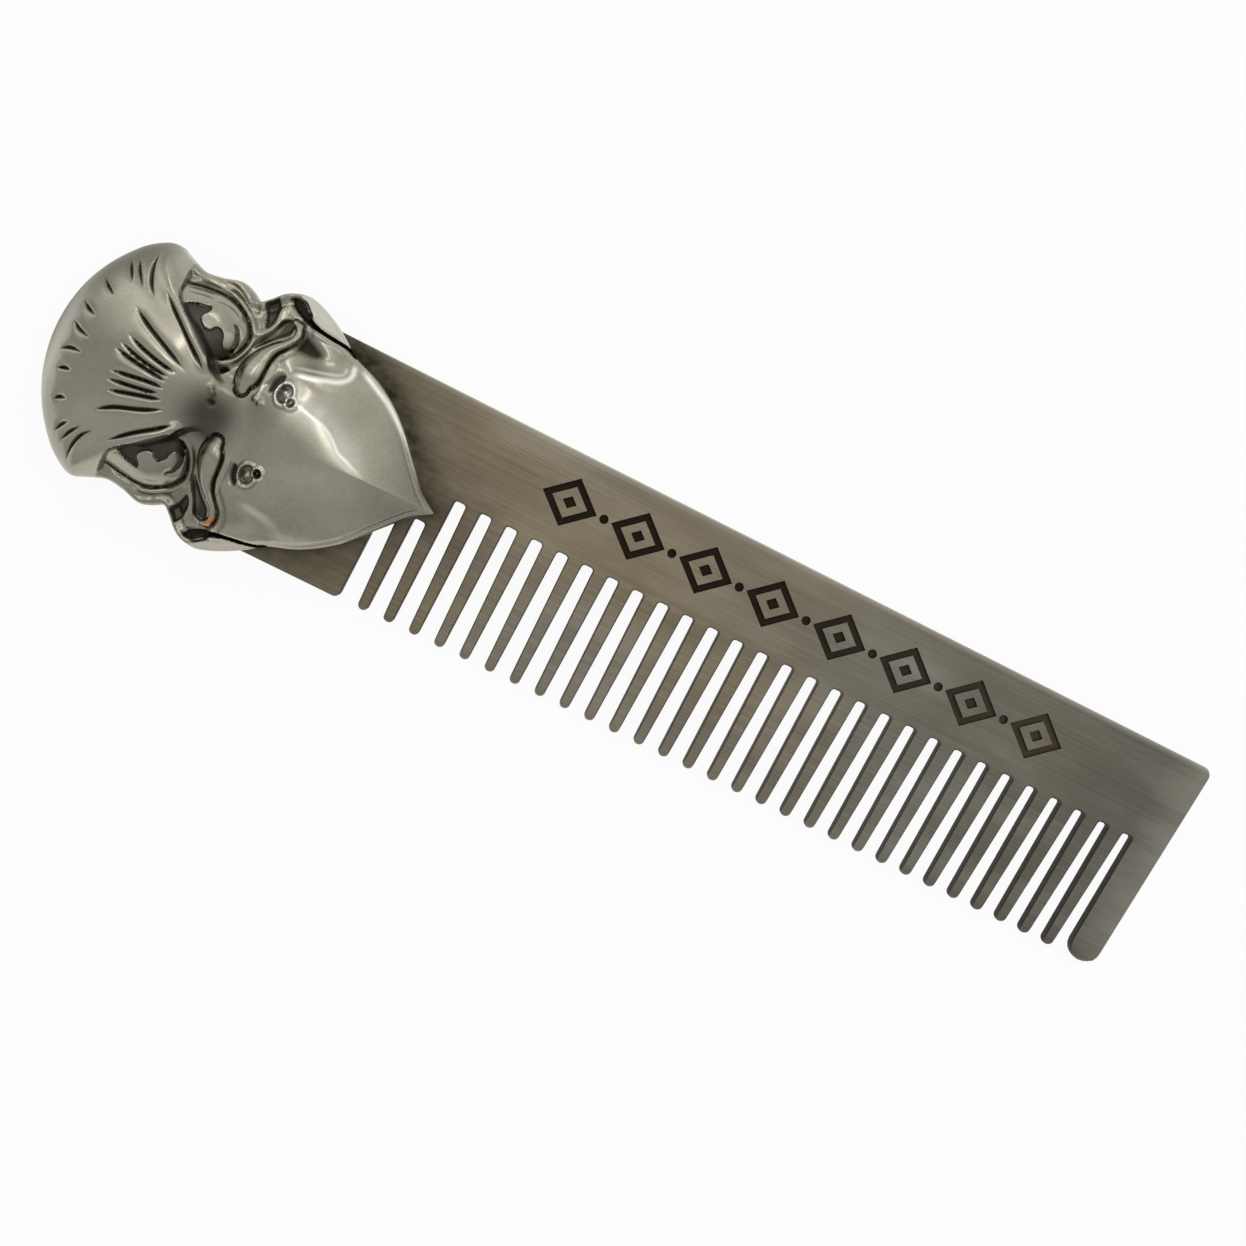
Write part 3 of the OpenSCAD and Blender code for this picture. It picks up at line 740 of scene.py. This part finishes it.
def carveHead(relief):
    c, size = carving, carvingSizes
    r = relief

    # brows: a roll along each, with the face dropping away in front of it
    found, d, share, width, _ = r.near(c["browRoll"], 5)
    r.z[found] += size["browHeight"] * bell(d, width) * (1 - ease(0.9, 1, share))
    fromBrow = r.past(c["browEdge"], [(-1, -0.1), (-1, 16), (9.9, 16)])
    beakAt = 20.2 + 3.8 * r.y / (headForm["width"] / 2)
    middle = ease(1.9, 3.7, r.y)        # 0 near the middle line, where the brows run out
    wall = 0.25 + 1.6 * (1 - middle)
    face = ease(-0.05, 1, fromBrow / wall) * (1 - ease(-0.9, 0.8, r.s - beakAt)) * middle
    inFrom = ease(0, 1.3, r.edge)
    r.z -= size["faceDrop"] * face * inFrom
    # painted shadow: a dark band just under the brow's edge
    browShadow = bell(np.maximum(fromBrow - 0.04, 0), 0.1) * (fromBrow > -0.06)
    browShadow = browShadow * middle * ease(10.6, 11.6, r.s)
    r.stainAndShade(0.9 * browShadow)
    r.stainAndShade(0.3 * face)

    # eyes: a pillow between the lid and the brow, which cuts it off, with its upper part
    # cut back in the shape of a flame
    inEye = r.inside(c["lid"] + c["eyeTop"])
    pillow = (1 - (1 - np.clip(inEye / 2.6, 0, 1)) ** 2) * ease(0, 0.2, fromBrow)
    r.z += size["eyeHeight"] * pillow
    inEye = np.minimum(inEye, fromBrow)
    # inside the eye: the painted brow shadow, else a little patina
    r.patinaAndShade = np.where(inEye > 0.05, np.maximum(0.95 * browShadow, 0.12), r.patinaAndShade)
    cut = ease(-0.08, 0.12, r.inside(c["flame"]))
    r.z -= size["flameDepth"] * cut
    r.stainAndShade(0.8 * cut)
    r.stroke(c["crescent"], 0.12, 0.25, 0.8)
    for crease in c["creases"]:
        r.stroke(crease, 0.09, 0.12, 0.7, fade=0.45, other=0.3)
    r.stroke(c["lid"], 0.1, 0.3, 0.8, fade=0.06)
    found, d, share, *_ = r.near(c["lid"], 2)
    outside = inEye[found] < 0
    r.z[found] += 0.3 * bell(d - 0.5, 0.26) * outside * ease(0, 0.12, share) * (1 - ease(0.75, 1, share))

    # loose skin between the eye and the corner of the mouth
    r.hollow(c["pocket"], size["pocketDepth"], 0.75)
    r.hollow(c["leaf"], size["leafDepth"], 0.8)
    for fold, other in zip(c["folds"], (0.6, 0.1)):
        r.stroke([(s, y - width - 0.12) for s, y, width in fold[:8]], 0.14, 0.08, 0.4, other=0.3)
        r.bead(fold, size["foldHeight"], shine=0.9, other=other)
    r.dent(19.45, 10.15, 0.2, -0.4, 0, signed=True)

    # mouth: a deep slot that narrows to a line, between two lips
    onJaw = ease(0, 0.3, r.inside(c["jaw"]))
    r.z += onJaw * (headForm["rim"] + size["jawHeight"] * ease(-0.4, 1.6, r.edge) - r.z)
    # the jaw made lighter: cleaned of patina and given painted highlight, partly polish
    r.patinaAndShade *= 1 - 0.8 * onJaw
    r.highlightAndWear(0.35 * onJaw)
    r.bead(c["lip"], size["lipHeight"], shine=0.8)
    r.hollow(c["mouth"], size["mouthDepth"], 1, soft=0.2)
    r.stroke(c["mouthLine"], 0.13, 0.5, 1.0, fade=0.15)

    # beak: shoulders and hollow cheeks
    s, y, longSize, wideSize, depth = c["dish"]
    r.z -= depth * (np.exp(-((r.s - s) / longSize) ** 2 - ((r.y - y) / wideSize) ** 2) * inFrom)
    # patina and painted shade in the hollow cheek, fainter on the -Y side
    r.hollow(c["cheekPocket"], 0.3, 1, soft=1.2, other=0.25)
    r.crest(c["cheekLine"], 0.28, 1.2, 0.45, soft=0.2, echo=1)
    r.crest(c["edgeLine"], 0.12, 0.8, 0.4, soft=0.1)
    r.bend(c["shoulder"], 0.5, 2)

    # nostrils: a raised ring around a nub, with a small hole in front of it
    r.stroke(c["nostrilPit"], 0.4, 0.4, 0.95, fade=0.3)
    s, y, longSize, wideSize = c["nostril"]
    ring = np.hypot((r.s - s) / longSize, (r.y - y) / wideSize)
    r.z -= size["nostrilDepth"] * (1 - ease(0.68, 0.9, ring))
    fromNub = np.hypot(r.s - s + 0.1, r.y - y - 0.15)
    r.z += 0.24 * bell(ring - 1, 0.16) + 0.3 * bell(fromNub, 0.3)
    # painted highlight, partly polish, on the nostril's ring
    r.highlightAndWear(0.85 * bell(ring - 1, 0.1))
    dark = 0.95 * (1 - ease(0.7, 0.88, ring)) * (1 - 0.9 * bell(fromNub, 0.34))
    r.stainAndShade(dark * r.weaker(0.6))
    r.stainAndShade(0.5 * bell(ring - 1.3, 0.1))
    r.patinaAndShade *= 1 - 0.9 * bell(ring - 1, 0.12)
    s, y, radius = c["nostrilHole"]
    ring = np.hypot(r.s - s, r.y - y)
    r.z += 0.35 * bell(ring - radius - 0.16, 0.15) - 0.8 * (1 - ease(radius * 0.5, radius, ring))
    # painted highlight, partly polish, around the hole
    r.highlightAndWear(0.9 * bell(ring - radius - 0.2, 0.12))
    r.patinaAndShade *= 1 - 0.9 * bell(ring - radius - 0.14, 0.12)
    r.stainAndShade(1 - ease(radius * 0.7, radius * 1.1, ring))

    # a fine line along the edge of the beak
    onBeak = ease(29, 31, r.s) * (1 - ease(41.5, 42.8, r.s))
    r.z -= 0.08 * bell(r.edge - 0.55, 0.15) * onBeak
    r.stainAndShade(0.2 * bell(r.edge - 0.55, 0.16) * onBeak)

    # wattles: a drop with a curled tail, outlined by a groove
    found, d, share, width, _ = r.near(c["wattle"], 3, steps=16)
    swell = np.sqrt(np.maximum(1 - (d / width) ** 2, 0))
    smooth = domeAt(r.s[found], r.y[found]) - 0.9
    r.z[found] -= 0.25 * bell(d - width - 0.1, 0.14) * ease(0, 0.05, share)
    onIt = ease(-0.14, 0.06, width - d)
    r.z[found] += (smooth + (0.35 + size["wattleHeight"] * width) * swell - r.z[found]) * onIt
    keep = ease(-0.12, 0.05, d - width)
    r.patinaAndShade[found] = r.patinaAndShade[found] * keep + 0.14 * (1 - keep)
    r.stainAndShade(0.95 * bell(d - width - 0.08, 0.1), found)
    # beside the tail: a low ridge, and past it a band of painted shade
    beside = r.s[found] > 23
    r.z[found] += 0.2 * bell(d - width - 0.55, 0.16) * beside
    r.stainAndShade(0.5 * bell(d - width - 0.95, 0.22) * beside, found)
    # one tail is worn down to the copper
    tail = ease(0.72, 0.8, share) * (1 - ease(0.9, 1, share))
    r.copper[found] = np.where(r.side[found] < 0, tail, 0) * (1 - keep)

    # feathers last, so that every stroke is cut into the finished form
    for points in c["fan"]:
        r.stroke(points, size["strokeWidth"], size["strokeDepth"], 1.0, signed=True, fade=0.3)
    for points in c["crown"]:
        r.stroke(points, size["strokeWidth"], size["strokeDepth"] * 0.9, 1.0, signed=True, fade=0.45)

    # painted shade in the saddle between the brows and along the crown's rim, more on the +Y side, and
    # tarnish on the beak tip
    across = r.y * r.side
    s, y, longSize, wideSize = c["saddle"]
    r.stainAndShade(0.8 * bell(np.hypot((r.s - s) / longSize, (across - y) / wideSize) ** 1.4, 1))
    r.stainAndShade(0.38 * ease(32, 41, r.s) * r.weaker(0.4))
    rim = (1 - ease(0.8, 4.6, r.edge)) * (1 - ease(6.5, 10, r.s))
    r.stainAndShade(0.5 * (rim * (0.3 + 0.75 * ease(-3, 8, across))))
    for s, y, radius, dark in c["dull"]:
        r.dent(s, y, radius, 0, dark, signed=True)

    # casting marks in the saddle and beside the wattle, on one side
    r.stroke(c["pit"], 0.38, 0.6, 1.0, signed=True, fade=0.3)
    r.bead(c["wrinkle"], 0.5, signed=True, shine=0.8)
    for s, y in c["nubs"]:
        r.dent(s, y, 0.3, -0.4, 0, signed=True)
    r.dent(*c["smallPit"], 0.3, 0.45, 1, signed=True)


def buildHead():
    size = carvingSizes
    bm = bmesh.new()
    bmesh.ops.create_grid(bm, x_segments=size["rows"], y_segments=size["columns"], size=1)
    bm.verts.ensure_lookup_table()
    flat = np.array([v.co for v in bm.verts])
    # rows lie closer together over the face than over the beak, columns towards the rim
    rowAt = (flat[:, 0] + 1) / 2
    along = np.interp(rowAt, (0, 0.2, 0.76, 1), (0.03, 8, 27.5, headForm["length"] - 0.05))
    t = flat[:, 1] * (1.15 - 0.15 * flat[:, 1] ** 2)
    across = t * halfWidthAt(along)
    relief = Relief(along, across)
    carveHead(relief)
    atRim = np.abs(flat[:, 1]) > 1 - 1e-4
    z = np.where(atRim, headForm["rim"], np.clip(relief.z, headForm["rim"] - 0.3, headForm["height"]))
    z = np.maximum(z, 0.35)

    # from the form to the place that the casting has
    x = headLow.x + along / headForm["length"] * (headHigh.x - headLow.x)
    y = across / headForm["width"] * (headHigh.y - headLow.y)
    z = headLow.z + z / headForm["height"] * (headHigh.z - headLow.z)
    for v, place in zip(bm.verts, zip(x, y, z)):
        v.co = place

    patinaAndShade = bm.verts.layers.float.new("patinaAndShade")
    copper = bm.verts.layers.float.new("copperWear")
    highlightPolish = bm.verts.layers.float.new("highlightPolish")
    for v, dark, red, bright in zip(bm.verts, relief.patinaAndShade, relief.copper, relief.polishAndHighlight):
        v[patinaAndShade] = dark
        v[copper] = red
        v[highlightPolish] = bright

    def extrude(edges):
        made = bmesh.ops.extrude_edge_only(bm, edges=edges)["geom"]
        return ([g for g in made if isinstance(g, bmesh.types.BMVert)],
                [g for g in made if isinstance(g, bmesh.types.BMEdge)])

    # upright wall, turned in a little where it meets the plate, and a flat back
    wall, edges = extrude([e for e in bm.edges if e.is_boundary])
    for v in wall:
        v.co.z = headLow.z + 0.15 * mm
    foot, edges = extrude(edges)
    for v in foot:
        v.co.z = headLow.z
        v.co.y *= 0.99
        v[patinaAndShade] = 0.8
    bmesh.ops.contextual_create(bm, geom=edges)
    bmesh.ops.recalc_face_normals(bm, faces=bm.faces)
    for face in bm.faces:
        face.smooth = True
    finishPiece(bm, "castHead", [castPewter()], "head_pewter", "eagle_head", sharp=55)


buildHead()
print("head carved")


# comb plate, lengths in mm

plateForm = {
    "outerEdge": 0.45,      # rounding of the spine and the far end
    "toothEdge": 0.25,      # the same for the teeth
    "handle": 19.5,         # length of the handle end, which is rounded like the spine
    "bandLow": 3.5,         # how far above the middle the engraved band starts
    "tipReach": 0.9,        # how much of a tooth tip thins out
    "tipThin": 0.7,         # and how much: 1 would bring it to nothing
    # black tarnish and painted shadow along the head: how far it spreads from the head, its strength at
    # lengths along the head, and its strength on the tooth side
    "tarnishShadeReach": 1.8,
    "tarnishShadeAlong": ((28, 33, 38, 43), (1, 0.95, 0.75, 0.6)),
    "tarnishShadeBelow": 0.35,
    "stainShadeReach": 7,        # how far the brown stain and painted shadow around it spreads
    "stainAndShade": 0.54,          # and how dark it is
    "slotShade": 1,         # how dark the painted shade on the edges of the slots is
    # lines that hold the tarnish and painted shade: how far apart they are, where the first one crosses the
    # head, and how far on they go
    "cutStep": 1.0,
    "cutFrom": 20,
    "cutLength": 34,
}


def buildPlate():
    form = plateForm
    bm = bmesh.new()
    bm.from_mesh(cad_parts["comb_plate"].data)
    bmesh.ops.remove_doubles(bm, verts=bm.verts, dist=0.02 * mm)
    bmesh.ops.dissolve_limit(bm, angle_limit=math.radians(1), verts=bm.verts, edges=bm.edges)
    low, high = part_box("comb_plate")
    reach = 0.02 * mm

    def isEtched(edge):
        # an edge of the engraved band
        return all(form["bandLow"] * mm < v.co.y < high.y - 1.2 * mm
                   and headHigh.x + 5 * mm < v.co.x < high.x - 6 * mm for v in edge.verts)

    def isOuter(edge):
        middle = (edge.verts[0].co + edge.verts[1].co) / 2
        return (middle.y > high.y - 1.2 * mm or middle.x > high.x - 1.8 * mm
                or middle.x < headLow.x + form["handle"] * mm)

    def isCorner(edge):
        if len(edge.link_faces) != 2 or edge.calc_face_angle(0) < math.radians(50):
            return False
        heights = [v.co.z for v in edge.verts]
        return all(abs(z - low.z) < reach for z in heights) or all(z > high.z - reach for z in heights)

    outer = [e for e in bm.edges if isCorner(e) and not isEtched(e) and isOuter(e)]
    bmesh.ops.bevel(bm, geom=outer, offset=form["outerEdge"] * mm, segments=4, profile=0.5,
                    affect="EDGES", material=-1, clamp_overlap=True)
    inner = [e for e in bm.edges if isCorner(e) and not isEtched(e) and not isOuter(e)]
    bmesh.ops.bevel(bm, geom=inner, offset=form["toothEdge"] * mm, segments=3, profile=0.5,
                    affect="EDGES", material=-1, clamp_overlap=False)
    bmesh.ops.triangulate(bm, faces=[f for f in bm.faces if len(f.verts) > 4])

    def cut(place, normal):
        bmesh.ops.bisect_plane(bm, geom=bm.verts[:] + bm.edges[:] + bm.faces[:], dist=1e-7,
                               plane_co=place, plane_no=normal)

    # lines across and along the plate beside the head, to hold the tarnish and painted shade
    step = form["cutStep"] * mm
    for i in range(int(form["cutLength"] / form["cutStep"])):
        cut((headLow.x + form["cutFrom"] * mm + i * step, 0, 0), (1, 0, 0))
    for i in range(1, int((high.y - low.y) / step)):
        cut((0, low.y + i * step, 0), (0, 1, 0))

    # tooth tips thin out towards their ends
    middleZ = (low.z + high.z) / 2
    tipReach = form["tipReach"] * mm
    tipTop = low.y + tipReach
    for i in range(1, 6):
        cut((0, low.y + tipReach * i / 5, 0), (0, 1, 0))
    for v in bm.verts:
        if v.co.y < tipTop and v.co.x > headHigh.x:
            share = (tipTop - v.co.y) / (tipTop - low.y)
            v.co.z = middleZ + (v.co.z - middleZ) * math.sqrt(1 - form["tipThin"] * share ** 2)

    # tarnish and painted shadow around the head
    tarnishAndShade = bm.verts.layers.float.new("tarnishAndShade")
    places = np.array([v.co for v in bm.verts]) / mm
    along = places[:, 0] - headLow.x / mm
    d = np.full(len(along), 99.0)
    for a, b in zip(outlineCurve[:-1:4], outlineCurve[4::4]):
        d = np.minimum(d, Relief.toSegment(along, np.abs(places[:, 1]), a, b)[0])
    strength = np.where(places[:, 1] < 0, form["tarnishShadeBelow"], np.interp(along, *form["tarnishShadeAlong"]))
    black = strength * np.exp(-(d / form["tarnishShadeReach"]) ** 2.2)
    brown = form["stainAndShade"] * np.exp(-(d / form["stainShadeReach"]) ** 1.5)
    stainAndShade = 1 - (1 - black) * (1 - brown)
    # and painted shade along the edges of the slots
    sunken = ease(0.02, form["toothEdge"], high.z / mm - places[:, 2])
    atSlots = (1 - ease(2.6, 3.2, places[:, 1])) * ease(0, 0.8, places[:, 1] - tipTop / mm)
    betweenEnds = (places[:, 0] > headHigh.x / mm - 8) & (places[:, 0] < high.x / mm - 2.6)
    stainAndShade = np.maximum(stainAndShade, form["slotShade"] * sunken * np.where(betweenEnds, atSlots, 0))
    for v, amount in zip(bm.verts, stainAndShade):
        v[tarnishAndShade] = amount

    # metals of the engraved band and the slots
    for face in bm.faces:
        middle = face.calc_center_median()
        inBand = form["bandLow"] * mm < middle.y < high.y - 1.5 * mm and middle.x < high.x - 5 * mm
        inSlots = middle.y < 3 * mm and headLow.x + 36 * mm < middle.x < high.x - 2.6 * mm
        upright = abs(face.normal.z) < 0.3
        if inBand and low.z + 0.5 * mm < middle.z < high.z - 0.02 * mm:
            face.material_index = 1 if upright else 2
        elif upright and inSlots:
            face.material_index = 1
        face.smooth = False
    finishPiece(bm, "combPlate", [brushedSteel(), shadedWallSteel(), etchedSteel()],
                "plate_steel", "comb_plate", sharp=None)


buildPlate()
print("comb plate finished")


# screws

screwForm = {"edge": 0.06}      # rounding of the rims, in mm


def buildScrew(node, name):
    bm = bmesh.new()
    bm.from_mesh(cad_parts[node].data)
    bmesh.ops.remove_doubles(bm, verts=bm.verts, dist=0.0005 * mm)
    bmesh.ops.dissolve_limit(bm, angle_limit=math.radians(1), verts=bm.verts, edges=bm.edges)
    rims = [e for e in bm.edges if len(e.link_faces) == 2 and e.calc_face_angle(0) > math.radians(55)]
    bmesh.ops.bevel(bm, geom=rims, offset=screwForm["edge"] * mm, segments=2, profile=0.5,
                    affect="EDGES", material=-1, clamp_overlap=True)
    for face in bm.faces:
        face.smooth = True
    low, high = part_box(node)
    finishPiece(bm, name, [turnedSteel((low + high) / 2)], "screw_steel", node)


buildScrew("crown_screw", "crownScrew")
buildScrew("beak_screw", "beakScrew")
print("screws finished")
